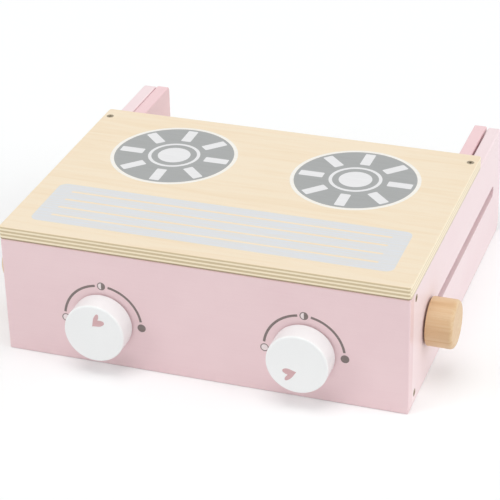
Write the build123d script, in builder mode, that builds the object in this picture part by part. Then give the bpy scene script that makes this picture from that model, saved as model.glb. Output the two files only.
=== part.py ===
# Portable play kitchen: a toy hob whose U-shaped frame pulls out to the back and is clamped by two knobs.
# Millimetres. +X is the user's right, +Y points away from the user, +Z is up.
# The origin is on the table, midway between the side boards and midway along the whole toy.

import os

from build123d import *

os.makedirs("parts", exist_ok=True)

# Carcass
box_width = 300.0  # over the outer faces of the side boards
box_length = 282.8  # from the face of the front board to the rear ends of the side boards
side_height = 90.7  # front board and side boards, table to the underside of the hob
front_thick = 10.0
side_thick = 10.0
rear_corner_round = 8.0  # rear corners of the side boards, top and bottom
paint_edge_round = 1.2  # sanded edges of the painted boards

# Hob top
hob_thick = 10.0
hob_length = 206.4  # front edge to rear edge
hob_front_overhang = 0.4
hob_side_overhang = 0.5
hob_corner_round = 2.5  # seen from above
hob_edge_round = 0.8

# Corner battens behind the front board
batten_width = 12.0
batten_depth = 12.0
batten_chamfer = 3.0  # free inner edge

# Dowels between the front board and the hob
dowel_dia = 6.0
dowel_in_hob = 6.5
dowel_in_front = 16.0
dowel_spread = 220.0  # between the outer two
dowel_count = 3

# Countersunk wood screws with a cross recess
screw_shank_dia = 3.0
screw_head_dia = 5.6
screw_head_rim = 0.3  # straight rim above the cone
screw_tip = 4.0
recess_span = 3.2
recess_width = 0.8
recess_depth = 1.3
recess_taper = 12.0  # degrees
hob_screw_in_side = 20.0  # how far it bites into the side board
hob_screw_inset = 13.0  # from the rear edge of the hob
side_screw_in_batten = 10.0
side_screw_low = 8.4  # from the bottom of the side board
side_screw_high = 6.6  # from its top

# Control knobs
knob_dia = 45.0
knob_length = 16.8
knob_spacing = 149.7
knob_pair_right = 0.8  # the pair sits this far right of the middle
knob_height = 36.3
knob_tilt_rise = 0.9  # the right knob is this much higher than that, the left one lower
knob_front_round = 1.3
knob_back_round = 0.6
spindle_dia = 10.0
spindle_in_knob = 10.0
knob_washer_dia = 24.0
knob_washer_thick = 0.8
retainer_dia = 20.0
retainer_thick = 4.0
retainer_screw_shank = 3.0
retainer_screw_in_spindle = 12.0
retainer_screw_head = 6.4
retainer_screw_dome = 2.2

# Slots and clamp bolts
slot_height = 46.4  # centre line above the table
slot_width = 9.2
slot_rear_margin = 24.4  # from the rear end of the side board to the end of the slot
pin_end_play = 0.4  # between the bolt and each end of the slot
bolt_dia = 8.0
bolt_in_insert = 12.0  # how far the clamped bolt reaches into the insert
bolt_head_dia = 18.0
bolt_head_height = 4.0
bolt_head_rim = 0.4  # straight rim under the dome of the head
bolt_neck = 8.0  # square neck, side
bolt_neck_depth = 4.5
clamp_washer_dia = 16.0
clamp_washer_thick = 1.0
clamp_washer_play = 0.5  # round the washer, in its recess in the knob
clamp_knob_dia = 35.2
clamp_knob_length = 19.5
clamp_knob_outer_round = 3.0
clamp_knob_inner_round = 0.8
clamp_rim_gap = 0.2  # between the rim of a knob that is done up and the side board
thread_pitch = 1.25
turns_undone = {"left": 0, "right": 1}  # as the toy stands here
insert_dia = 11.0
insert_length = 13.0
insert_flange_width = 1.5
insert_flange_thick = 1.0

# Pull-out frame
arm_thick = 10.0
arm_side_gap = 1.05  # between each arm and its side board, with the frame in the middle
arm_table_gap = 1.0
arm_hob_gap = 1.0
arm_rear_inset = 0.2  # the arms end this much short of the side boards
arm_batten_gap = 2.7  # between the front end of an arm and its corner batten
arm_nose = 27.0  # from the front end of the arm to the bolt
arm_rear_round = 3.0
handle_dia = 22.0
handle_rear_margin = 19.0  # from the rear end of the arm to the middle of the handle
handle_socket = 4.0  # depth of the blind socket in each arm
handle_screw_in_bar = 30.0  # past the arm's own thickness

# Clearances
glue_line = 0.03  # radial, in glued or screwed holes
wood_grip = 0.05  # radial, around screw shanks
turn_fit = 0.08  # radial, for what turns in a bore
face_gap = 0.2  # between flat faces that slide or turn on each other
spindle_play = 0.3  # end play of a control knob

# Places that follow from the sizes above
half_width = box_width / 2
inner_x = half_width - side_thick
knob_reach = knob_length + knob_washer_thick + face_gap
front_y = (knob_reach - box_length) / 2
rear_y = front_y + box_length
front_back_y = front_y + front_thick
hob_front_y = front_y - hob_front_overhang
hob_rear_y = hob_front_y + hob_length
hob_top_z = side_height + hob_thick
dowel_y = front_y + front_thick / 2
batten_y = front_back_y + batten_depth / 2
side_middle_x = half_width - side_thick / 2
knob_back_y = front_y - knob_washer_thick - face_gap
arm_front_y = front_back_y + batten_depth + arm_batten_gap
pin_y = arm_front_y + arm_nose
slot_front_y = pin_y - bolt_dia / 2 - pin_end_play
slot_rear_y = rear_y - slot_rear_margin
slot_length = slot_rear_y - slot_front_y
slot_middle_y = (slot_front_y + slot_rear_y) / 2
frame_travel = slot_length - bolt_dia - 2 * pin_end_play
arm_outer_x = inner_x - arm_side_gap
arm_inner_x = arm_outer_x - arm_thick
arm_rear_y = rear_y - arm_rear_inset
arm_height = side_height - arm_table_gap - arm_hob_gap
frame_x = face_gap - arm_side_gap  # the left clamp, done up, holds its arm against the side board
arm_nose_round = min(arm_nose, arm_height / 2 - arm_rear_round)  # clears the table when swung up
handle_y = arm_rear_y - handle_rear_margin
handle_length = 2 * (arm_inner_x + handle_socket - glue_line)
pin_z = slot_height - (slot_width - bolt_dia) / 2 + face_gap  # the bolt lies in the bottom of its slot
washer_x = half_width + face_gap
insert_x = washer_x + clamp_washer_thick + face_gap
washer_recess_depth = insert_x - half_width - clamp_rim_gap
bolt_length = insert_x + bolt_in_insert - arm_inner_x + frame_x
insert_flange_dia = insert_dia + 2 * insert_flange_width
hob_screw_length = hob_thick + hob_screw_in_side
side_screw_length = side_thick + side_screw_in_batten
handle_screw_length = arm_thick + handle_screw_in_bar
retainer_screw_length = retainer_thick + retainer_screw_in_spindle
retainer_y = front_back_y + spindle_play
knob_places = {
    "left": (knob_pair_right - knob_spacing / 2, knob_height - knob_tilt_rise),
    "right": (knob_pair_right + knob_spacing / 2, knob_height + knob_tilt_rise),
}
sides = {"left": -1, "right": 1}


def plane_at_y(y):
    """A plane facing the user, at this distance along Y. Extruding it by a positive amount comes forward."""
    return Plane.XZ.offset(-y)


def countersunk_screw(length):
    """A wood screw along -Z with the top of its head at the origin."""
    cone = (screw_head_dia - screw_shank_dia) / 2
    with BuildPart() as screw:
        with BuildSketch(Plane.XZ):
            with BuildLine():
                Polyline(
                    (0, 0),
                    (screw_head_dia / 2, 0),
                    (screw_head_dia / 2, -screw_head_rim),
                    (screw_shank_dia / 2, -screw_head_rim - cone),
                    (screw_shank_dia / 2, screw_tip - length),
                    (0, -length),
                    close=True,
                )
            make_face()
        revolve(axis=Axis.Z)
        with BuildSketch(Plane.XY):
            Rectangle(recess_span, recess_width)
            Rectangle(recess_width, recess_span)
        extrude(amount=-recess_depth, taper=recess_taper, mode=Mode.SUBTRACT)
    return screw.part


def screw_hole(length):
    """The room that a countersunk screw takes in wood, to be cut away at the same place."""
    cone = (screw_head_dia - screw_shank_dia) / 2
    with BuildPart() as hole:
        with BuildSketch(Plane.XZ):
            with BuildLine():
                Polyline(
                    (0, 0),
                    (screw_head_dia / 2 + wood_grip, 0),
                    (screw_head_dia / 2 + wood_grip, -screw_head_rim - wood_grip),
                    (screw_shank_dia / 2 + wood_grip, -screw_head_rim - cone - wood_grip),
                    (screw_shank_dia / 2 + wood_grip, -length - wood_grip),
                    (0, -length - wood_grip),
                    close=True,
                )
            make_face()
        revolve(axis=Axis.Z)
    return hole.part


# Where the screws go: each plane's Z points out of the head
hob_screw_planes = [
    Plane(origin=(sign * side_middle_x, hob_rear_y - hob_screw_inset, hob_top_z), z_dir=(0, 0, 1))
    for sign in sides.values()
]


def side_screw_planes(sign):
    """The two screws through one side board into its corner batten."""
    return [
        Plane(origin=(sign * half_width, batten_y, z), x_dir=(0, 1, 0), z_dir=(sign, 0, 0))
        for z in (side_screw_low, side_height - side_screw_high)
    ]


def handle_screw_plane(sign):
    """The screw through one arm into the end of the handle bar."""
    return Plane(origin=(frame_x + sign * arm_outer_x, handle_y, pin_z), x_dir=(0, 1, 0), z_dir=(sign, 0, 0))


hob_screw_hole = screw_hole(hob_screw_length)
side_screw_hole = screw_hole(side_screw_length)
handle_screw_hole = screw_hole(handle_screw_length)

# Front board: covers the front ends of the side boards
with BuildPart() as front_panel:
    with BuildSketch(plane_at_y(front_back_y)):
        with Locations((0, side_height / 2)):
            Rectangle(box_width, side_height)
    extrude(amount=front_thick)
    fillet(front_panel.edges().filter_by(Axis.Y), paint_edge_round)
    fillet(front_panel.faces().sort_by(Axis.Y)[0].edges(), paint_edge_round)
    with BuildSketch(plane_at_y(front_back_y)):
        with Locations(*knob_places.values()):
            Circle(spindle_dia / 2 + turn_fit)
    extrude(amount=front_thick, mode=Mode.SUBTRACT)
    with BuildSketch(Plane.XY.offset(side_height)):
        with Locations((0, dowel_y)):
            with GridLocations(dowel_spread / (dowel_count - 1), 0, dowel_count, 1):
                Circle(dowel_dia / 2 + glue_line)
    extrude(amount=-dowel_in_front - glue_line, mode=Mode.SUBTRACT)
front_panel.part.label = "front_panel"
export_step(front_panel.part, "parts/front_panel.step")

# Side boards, each with its slot
for side, sign in sides.items():
    with BuildPart() as side_panel:
        with BuildSketch(Plane.YZ.offset(sign * half_width)) as side_outline:
            with Locations((front_back_y, 0)):
                Rectangle(rear_y - front_back_y, side_height, align=(Align.MIN, Align.MIN))
            fillet(side_outline.vertices().group_by(Axis.X)[-1], rear_corner_round)
            with Locations((slot_middle_y, slot_height)):
                SlotOverall(slot_length, slot_width, mode=Mode.SUBTRACT)
        extrude(amount=-sign * side_thick)
        for face in side_panel.faces().filter_by(Axis.X):
            fillet(face.outer_wire().edges().sort_by(Axis.Y)[1:], paint_edge_round)
        with Locations(*side_screw_planes(sign)):
            add(side_screw_hole, mode=Mode.SUBTRACT)
        with Locations(*hob_screw_planes):
            add(hob_screw_hole, mode=Mode.SUBTRACT)
    side_panel.part.label = f"side_panel_{side}"
    export_step(side_panel.part, f"parts/side_panel_{side}.step")

# Hob top
with BuildPart() as hob_top:
    with BuildSketch(Plane.XY.offset(side_height)) as hob_outline:
        with Locations((0, hob_front_y)):
            Rectangle(box_width + 2 * hob_side_overhang, hob_length, align=(Align.CENTER, Align.MIN))
        fillet(hob_outline.vertices(), hob_corner_round)
    extrude(amount=hob_thick)
    fillet(hob_top.faces().filter_by(Axis.Z).edges(), hob_edge_round)
    with BuildSketch(Plane.XY.offset(side_height)):
        with Locations((0, dowel_y)):
            with GridLocations(dowel_spread / (dowel_count - 1), 0, dowel_count, 1):
                Circle(dowel_dia / 2 + glue_line)
    extrude(amount=dowel_in_hob + glue_line, mode=Mode.SUBTRACT)
    with Locations(*hob_screw_planes):
        add(hob_screw_hole, mode=Mode.SUBTRACT)
hob_top.part.label = "hob_top"
export_step(hob_top.part, "parts/hob_top.step")

# Corner battens, glued behind the front board
for side, sign in sides.items():
    with BuildPart() as corner_batten:
        with BuildSketch() as batten_outline:
            with Locations((sign * (inner_x - batten_width / 2), batten_y)):
                Rectangle(batten_width, batten_depth)
            rear_corners = batten_outline.vertices().group_by(Axis.Y)[-1].sort_by(Axis.X)
            chamfer(rear_corners[0 if sign > 0 else -1], batten_chamfer)
        extrude(amount=side_height)
        with Locations(*side_screw_planes(sign)):
            add(side_screw_hole, mode=Mode.SUBTRACT)
    corner_batten.part.label = f"corner_batten_{side}"
    export_step(corner_batten.part, f"parts/corner_batten_{side}.step")

# Dowels that hold the front of the hob
with BuildPart() as hob_dowels:
    with BuildSketch(Plane.XY.offset(side_height - dowel_in_front)):
        with Locations((0, dowel_y)):
            with GridLocations(dowel_spread / (dowel_count - 1), 0, dowel_count, 1):
                Circle(dowel_dia / 2)
    extrude(amount=dowel_in_front + dowel_in_hob)
hob_dowels.part.label = "hob_dowels"
export_step(hob_dowels.part, "parts/hob_dowels.step")

# Screws of the carcass
hob_screw = countersunk_screw(hob_screw_length)
side_screw = countersunk_screw(side_screw_length)

with BuildPart() as hob_screws:
    with Locations(*hob_screw_planes):
        add(hob_screw)
hob_screws.part.label = "hob_screws"
export_step(hob_screws.part, "parts/hob_screws.step")

for side, sign in sides.items():
    with BuildPart() as side_screws:
        with Locations(*side_screw_planes(sign)):
            add(side_screw)
    side_screws.part.label = f"side_screws_{side}"
    export_step(side_screws.part, f"parts/side_screws_{side}.step")

# Control knobs with what carries them through the front board
for side, (knob_x, knob_z) in knob_places.items():
    with BuildPart() as control_knob:
        with BuildSketch(plane_at_y(knob_back_y)):
            with Locations((knob_x, knob_z)):
                Circle(knob_dia / 2)
        extrude(amount=knob_length)
        fillet(control_knob.faces().sort_by(Axis.Y)[0].edges(), knob_front_round)
        fillet(control_knob.faces().sort_by(Axis.Y)[-1].edges(), knob_back_round)
        with BuildSketch(plane_at_y(knob_back_y)):
            with Locations((knob_x, knob_z)):
                Circle(spindle_dia / 2 + glue_line)
        extrude(amount=spindle_in_knob + glue_line, mode=Mode.SUBTRACT)
    control_knob.part.label = f"control_knob_{side}"
    export_step(control_knob.part, f"parts/control_knob_{side}.step")

    with BuildPart() as knob_spindle:
        with BuildSketch(plane_at_y(retainer_y)):
            with Locations((knob_x, knob_z)):
                Circle(spindle_dia / 2)
        extrude(amount=retainer_y - knob_back_y + spindle_in_knob)
        with BuildSketch(plane_at_y(retainer_y)):
            with Locations((knob_x, knob_z)):
                Circle(retainer_screw_shank / 2 + wood_grip)
        extrude(amount=retainer_screw_length - retainer_thick + wood_grip, mode=Mode.SUBTRACT)
    knob_spindle.part.label = f"knob_spindle_{side}"
    export_step(knob_spindle.part, f"parts/knob_spindle_{side}.step")

    with BuildPart() as knob_washer:
        with BuildSketch(plane_at_y(knob_back_y + knob_washer_thick)):
            with Locations((knob_x, knob_z)):
                Circle(knob_washer_dia / 2)
                Circle(spindle_dia / 2 + turn_fit, mode=Mode.SUBTRACT)
        extrude(amount=knob_washer_thick)
    knob_washer.part.label = f"knob_washer_{side}"
    export_step(knob_washer.part, f"parts/knob_washer_{side}.step")

    with BuildPart() as spindle_retainer:
        with BuildSketch(plane_at_y(retainer_y + retainer_thick)):
            with Locations((knob_x, knob_z)):
                Circle(retainer_dia / 2)
                Circle(retainer_screw_shank / 2 + wood_grip, mode=Mode.SUBTRACT)
        extrude(amount=retainer_thick)
        fillet(spindle_retainer.faces().sort_by(Axis.Y)[-1].outer_wire().edges(), knob_back_round)
    spindle_retainer.part.label = f"spindle_retainer_{side}"
    export_step(spindle_retainer.part, f"parts/spindle_retainer_{side}.step")

    with BuildPart() as spindle_screw:
        with BuildSketch(plane_at_y(retainer_y + retainer_thick)):
            with Locations((knob_x, knob_z)):
                Circle(retainer_screw_shank / 2)
        extrude(amount=retainer_screw_length)
        with BuildSketch(plane_at_y(retainer_y + retainer_thick)):
            with Locations((knob_x, knob_z)):
                Circle(retainer_screw_head / 2)
        extrude(amount=-retainer_screw_dome)
        fillet(spindle_screw.faces().sort_by(Axis.Y)[-1].edges(), retainer_screw_dome / 2)
        with BuildSketch(plane_at_y(retainer_y + retainer_thick + retainer_screw_dome)):
            with Locations((knob_x, knob_z)):
                Rectangle(recess_span, recess_width)
                Rectangle(recess_width, recess_span)
        extrude(amount=recess_depth, mode=Mode.SUBTRACT)
    spindle_screw.part.label = f"spindle_screw_{side}"
    export_step(spindle_screw.part, f"parts/spindle_screw_{side}.step")

# Arms of the pull-out frame
for side, sign in sides.items():
    with BuildPart() as frame_arm:
        with BuildSketch(Plane.YZ.offset(frame_x + sign * arm_outer_x)) as arm_outline:
            with Locations((arm_front_y, arm_table_gap)):
                Rectangle(arm_rear_y - arm_front_y, arm_height, align=(Align.MIN, Align.MIN))
            fillet(arm_outline.vertices().group_by(Axis.X)[0], arm_nose_round)
            fillet(arm_outline.vertices().group_by(Axis.X)[-1], arm_rear_round)
            with Locations((pin_y, pin_z)):
                Circle(bolt_dia / 2 + glue_line, mode=Mode.SUBTRACT)
        extrude(amount=-sign * arm_thick)
        for face in frame_arm.faces().filter_by(Axis.X):
            fillet(face.outer_wire().edges(), paint_edge_round)
        with BuildSketch(Plane.YZ.offset(frame_x + sign * arm_inner_x)):
            with Locations((handle_y, pin_z)):
                Circle(handle_dia / 2 + glue_line)
        extrude(amount=sign * handle_socket, mode=Mode.SUBTRACT)
        with BuildSketch(Plane.YZ.offset(frame_x + sign * arm_inner_x)):
            with Locations((pin_y, pin_z)):
                Rectangle(bolt_neck + 2 * glue_line, bolt_neck + 2 * glue_line)
        extrude(amount=sign * (bolt_neck_depth + glue_line), mode=Mode.SUBTRACT)
        with Locations(handle_screw_plane(sign)):
            add(handle_screw_hole, mode=Mode.SUBTRACT)
    frame_arm.part.label = f"frame_arm_{side}"
    export_step(frame_arm.part, f"parts/frame_arm_{side}.step")

# Handle bar and the screws into its ends
with BuildPart() as handle_bar:
    with BuildSketch(Plane.YZ.offset(frame_x - handle_length / 2)):
        with Locations((handle_y, pin_z)):
            Circle(handle_dia / 2)
    extrude(amount=handle_length)
    with Locations(*[handle_screw_plane(sign) for sign in sides.values()]):
        add(handle_screw_hole, mode=Mode.SUBTRACT)
handle_bar.part.label = "handle_bar"
export_step(handle_bar.part, "parts/handle_bar.step")

handle_screw = countersunk_screw(handle_screw_length)
with BuildPart() as handle_screws:
    with Locations(*[handle_screw_plane(sign) for sign in sides.values()]):
        add(handle_screw)
handle_screws.part.label = "handle_screws"
export_step(handle_screws.part, "parts/handle_screws.step")

# Clamp bolts and what they hold, from the inside out
for side, sign in sides.items():
    undone = turns_undone[side] * thread_pitch
    washer_plane = Plane.YZ.offset(sign * (washer_x + undone))
    rim_plane = Plane.YZ.offset(sign * (half_width + clamp_rim_gap + undone))
    insert_plane = Plane.YZ.offset(sign * (insert_x + undone))

    with BuildPart() as clamp_bolt:
        with BuildSketch(Plane.YZ.offset(frame_x + sign * arm_inner_x)):
            with Locations((pin_y, pin_z)):
                Circle(bolt_dia / 2)
        extrude(amount=sign * bolt_length)
        with BuildSketch(Plane.YZ.offset(frame_x + sign * arm_inner_x)):
            with Locations((pin_y, pin_z)):
                Rectangle(bolt_neck, bolt_neck)
        extrude(amount=sign * bolt_neck_depth)
        with BuildSketch(Plane.YZ.offset(frame_x + sign * arm_inner_x)):
            with Locations((pin_y, pin_z)):
                Circle(bolt_head_dia / 2)
        extrude(amount=-sign * bolt_head_height)
        head_rim = clamp_bolt.edges().filter_by(GeomType.CIRCLE).sort_by(Axis.X)[0 if sign > 0 else -1]
        fillet(head_rim, bolt_head_height - bolt_head_rim)
    clamp_bolt.part.label = f"clamp_bolt_{side}"
    export_step(clamp_bolt.part, f"parts/clamp_bolt_{side}.step")

    with BuildPart() as clamp_washer:
        with BuildSketch(washer_plane):
            with Locations((pin_y, pin_z)):
                Circle(clamp_washer_dia / 2)
                Circle(bolt_dia / 2 + turn_fit, mode=Mode.SUBTRACT)
        extrude(amount=sign * clamp_washer_thick)
    clamp_washer.part.label = f"clamp_washer_{side}"
    export_step(clamp_washer.part, f"parts/clamp_washer_{side}.step")

    with BuildPart() as clamp_knob:
        with BuildSketch(rim_plane):
            with Locations((pin_y, pin_z)):
                Circle(clamp_knob_dia / 2)
        extrude(amount=sign * clamp_knob_length)
        knob_rims = clamp_knob.edges().filter_by(GeomType.CIRCLE).sort_by(Axis.X)
        outer_rim, inner_rim = (knob_rims[-1], knob_rims[0]) if sign > 0 else (knob_rims[0], knob_rims[-1])
        fillet(outer_rim, clamp_knob_outer_round)
        fillet(inner_rim, clamp_knob_inner_round)
        with BuildSketch(rim_plane):
            with Locations((pin_y, pin_z)):
                Circle(clamp_washer_dia / 2 + clamp_washer_play)
        extrude(amount=sign * washer_recess_depth, mode=Mode.SUBTRACT)
        with BuildSketch(insert_plane):
            with Locations((pin_y, pin_z)):
                Circle(insert_dia / 2 + glue_line)
        extrude(amount=sign * (insert_length + glue_line), mode=Mode.SUBTRACT)
        with BuildSketch(insert_plane):
            with Locations((pin_y, pin_z)):
                Circle(insert_flange_dia / 2 + glue_line)
        extrude(amount=sign * insert_flange_thick, mode=Mode.SUBTRACT)
    clamp_knob.part.label = f"clamp_knob_{side}"
    export_step(clamp_knob.part, f"parts/clamp_knob_{side}.step")

    with BuildPart() as clamp_insert:
        with BuildSketch(insert_plane):
            with Locations((pin_y, pin_z)):
                Circle(insert_dia / 2)
        extrude(amount=sign * insert_length)
        with BuildSketch(insert_plane):
            with Locations((pin_y, pin_z)):
                Circle(insert_flange_dia / 2)
        extrude(amount=sign * insert_flange_thick)
        with BuildSketch(insert_plane):
            with Locations((pin_y, pin_z)):
                Circle(bolt_dia / 2 + turn_fit)
        extrude(amount=sign * insert_length, mode=Mode.SUBTRACT)
    clamp_insert.part.label = f"clamp_insert_{side}"
    export_step(clamp_insert.part, f"parts/clamp_insert_{side}.step")

print(f"travel of the frame {frame_travel:.2f}")
print(f"front face y {front_y:.2f}, rear end y {rear_y:.2f}, hob rear edge y {hob_rear_y:.2f}")
print(f"slot y {slot_front_y:.2f} to {slot_rear_y:.2f}, bolt y {pin_y:.2f}, z {pin_z:.2f}")
print(f"handle y {handle_y:.2f}, frame x {frame_x:.2f}")
print(f"bolt length {bolt_length:.2f}, washer recess {washer_recess_depth:.2f} deep")
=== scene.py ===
"""Looks of a portable wooden play kitchen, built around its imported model.

The boards, knobs, bolts and screws are the model's own nodes, and get their finishes here. The prints on
the hob, on the front board and on the control knobs are modelled here as thin closed films of ink. Sizes
in the classes are in millimetres and are turned to the scene's metres where a piece is made.
"""

import logging
import math
from collections.abc import Iterable
from dataclasses import dataclass, field
from enum import Enum
from functools import cache
from typing import Any

import bmesh
import bpy
from mathutils import Euler, Matrix, Vector

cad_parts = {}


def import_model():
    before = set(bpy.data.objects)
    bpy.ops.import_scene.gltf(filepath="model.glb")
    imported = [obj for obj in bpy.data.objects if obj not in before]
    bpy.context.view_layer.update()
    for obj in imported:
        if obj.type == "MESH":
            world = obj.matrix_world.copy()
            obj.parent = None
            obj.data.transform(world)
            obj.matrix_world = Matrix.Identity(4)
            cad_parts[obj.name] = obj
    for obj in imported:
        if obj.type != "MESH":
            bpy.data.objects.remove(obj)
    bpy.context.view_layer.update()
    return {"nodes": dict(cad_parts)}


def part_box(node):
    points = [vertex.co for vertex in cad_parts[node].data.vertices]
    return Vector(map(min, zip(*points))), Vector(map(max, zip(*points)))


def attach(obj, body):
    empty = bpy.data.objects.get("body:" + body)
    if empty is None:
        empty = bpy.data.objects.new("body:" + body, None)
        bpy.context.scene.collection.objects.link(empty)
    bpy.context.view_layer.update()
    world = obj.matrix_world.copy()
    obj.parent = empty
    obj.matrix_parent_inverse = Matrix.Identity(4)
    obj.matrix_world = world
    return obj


log = logging.getLogger("play_kitchen")

Colour = tuple[float, float, float, float]
Point = tuple[float, float]
Triple = tuple[float, float, float]

MM = 0.001
ORIGIN: Point = (0.0, 0.0)
WHOLE: Point = (0.0, 1.0)

# How finely round shapes are cut, and how near two corners in a print have to be to become one.
CIRCLE_STEPS = 96
FEWEST_ARC_STEPS = 8
CORNER_STEPS = 6
CURVE_STEPS = 8
WELD_MM = 0.001

# The scale at which a wave texture has one wave in each unit.
ONE_WAVE_A_UNIT = math.pi / 10

# A Mix node has several sockets of each name, so those for colours go by number.
MIX_SHARE, MIX_UNDER, MIX_OVER, MIXED = 0, 6, 7, 2


def linear(hex_colour: str) -> Colour:
    """Turns an sRGB colour to the linear values that shaders take, by the standard's curve.

    Args:
        hex_colour: the colour as #RRGGBB.

    Returns:
        Linear red, green, blue and an alpha of 1.
    """
    channels = [int(hex_colour[i : i + 2], 16) / 255 for i in (1, 3, 5)]
    red, green, blue = (c / 12.92 if c <= 0.04045 else ((c + 0.055) / 1.055) ** 2.4 for c in channels)
    return red, green, blue, 1.0


def ranges(start: Point, end: tuple[Any, Any] = WHOLE) -> dict[str, Any]:
    """Gives the four ends of a Map Range node.

    Args:
        start: the range that it reads.
        end: the range that it gives, as values or sockets.

    Returns:
        The inputs by name.
    """
    return {"From Min": start[0], "From Max": start[1], "To Min": end[0], "To Max": end[1]}


class GrainAxis(Enum):
    """The axis that a piece's wood fibres run along."""

    X = 0
    Y = 1
    Z = 2

    def sizes(self, along: float, across: float) -> Triple:
        """Gives a feature's size along each axis.

        Args:
            along: its length along the fibres, in mm.
            across: its width across them, in mm.

        Returns:
            The sizes along X, Y and Z, in mm.
        """
        size = [across] * 3
        size[self.value] = along
        return size[0], size[1], size[2]


class Fineness(Enum):
    """How much finer detail a pattern has, as its texture counts it."""

    PLAIN = 1.0
    SOFT = 2.0
    FINE = 3.0
    FIBROUS = 4.0


class Side(Enum):
    """The user's left and right."""

    LEFT = -1
    RIGHT = 1

    @property
    def word(self) -> str:
        """The side as it stands in the names of pieces."""
        return self.name.lower()


class NodeSheet:
    """A node tree, of the world or of a material, while it is drawn."""

    def __init__(self, tree: bpy.types.NodeTree) -> None:
        """Takes up a tree.

        Args:
            tree: the tree.
        """
        self.tree = tree

    def add(
        self,
        kind: str,
        links: dict[Any, Any] | None = None,
        stops: Iterable[tuple[float, str]] = (),
        **settings: Any,
    ) -> Any:
        """Adds a node with its settings and links.

        Args:
            kind: Blender's name for the type of node.
            links: for each input, by name or number, the socket that feeds it or its value.
            stops: the places and hex colours of a colour ramp.
            settings: attributes of the node.

        Returns:
            The new node.
        """
        node = self.tree.nodes.new(kind)
        for name, value in settings.items():
            setattr(node, name, value)
        self.feed(node, links or {})
        for number, (position, colour) in enumerate(stops):
            ramp = node.color_ramp
            stop = ramp.elements[number] if number < 2 else ramp.elements.new(position)
            stop.position = position
            stop.color = linear(colour)
        return node

    def feed(self, node: Any, links: dict[Any, Any]) -> None:
        """Links or sets a node's inputs.

        Args:
            node: the node.
            links: for each input, by name or number, the socket that feeds it or its value.
        """
        for key, value in links.items():
            if isinstance(value, bpy.types.NodeSocket):
                self.tree.links.new(value, node.inputs[key])
            else:
                node.inputs[key].default_value = value

    def seen_directly(self) -> Any:
        """Finds the rays that show the background itself: camera, mirror and glass rays.

        Returns:
            A socket that is 1 for those rays.
        """
        path = self.add("ShaderNodeLightPath")
        mirrored = self.add(
            "ShaderNodeMath",
            {0: path.outputs["Is Camera Ray"], 1: path.outputs["Is Glossy Ray"]},
            operation="MAXIMUM",
        )
        either = self.add(
            "ShaderNodeMath",
            {0: mirrored.outputs[0], 1: path.outputs["Is Transmission Ray"]},
            operation="MAXIMUM",
        )
        return either.outputs[0]


class Canvas(NodeSheet):
    """The node tree of a material while a finish is drawn on it."""

    def __init__(self, name: str) -> None:
        """Starts a material with its shader.

        Args:
            name: the material's name.
        """
        self.material = bpy.data.materials.new(name)
        self.material.use_nodes = True
        super().__init__(self.material.node_tree)
        self.tree.nodes.clear()
        self.shader = self.add("ShaderNodeBsdfPrincipled")
        self.output = self.add("ShaderNodeOutputMaterial", {"Surface": self.shader.outputs["BSDF"]})
        self.surface = self.add("ShaderNodeTexCoord")

    def pattern(
        self, sizes: Triple, fineness: Fineness, shift: Triple = (0.0, 0.0, 0.0), **more: Any
    ) -> dict[str, Any]:
        """Gives the inputs of a texture whose features have a real size on the piece.

        Args:
            sizes: the feature's size along each axis, in mm.
            fineness: how much finer detail it has.
            shift: how far the pattern is moved, in features.
            more: other inputs of the texture, by name with _ for a space.

        Returns:
            The inputs by name, with one unit of the texture being one feature.
        """
        scale = tuple(1 / (size * MM) for size in sizes)
        links = {"Vector": self.surface.outputs["Object"], "Scale": scale, "Location": shift}
        place = self.add("ShaderNodeMapping", links).outputs["Vector"]
        inputs = {"Vector": place, "Scale": 1.0, "Detail": fineness.value}
        return inputs | {name.replace("_", " "): value for name, value in more.items()}

    def bump(self, height: Any, depth: float) -> None:
        """Raises the surface by a pattern.

        Args:
            height: the pattern's socket, from 0 to 1.
            depth: what 1 stands for, in mm.
        """
        bump = self.add("ShaderNodeBump", {"Height": height, "Distance": depth * MM, "Strength": 1.0})
        self.feed(self.shader, {"Normal": bump.outputs["Normal"]})

    def paint(self, colour: Any, roughness: Any, **constants: Any) -> None:
        """Feeds the shader.

        Args:
            colour: the base colour, a socket or a value.
            roughness: the roughness, a socket or a value.
            constants: other inputs that are the same all over, by name with _ for a space.
        """
        self.feed(self.shader, {"Base Color": colour, "Roughness": roughness})
        self.feed(self.shader, {name.replace("_", " "): value for name, value in constants.items()})


@dataclass(frozen=True)
class Finish:
    """A surface finish, named for what the real material is."""

    name: str

    def draw(self, canvas: Canvas) -> None:
        """Draws the finish.

        Args:
            canvas: the material's tree, already started.
        """
        raise NotImplementedError

    @cache
    def material(self) -> bpy.types.Material:
        """Makes the finish's material, once for all pieces that wear it.

        Returns:
            The material.
        """
        canvas = Canvas(self.name)
        self.draw(canvas)
        return canvas.material


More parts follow.
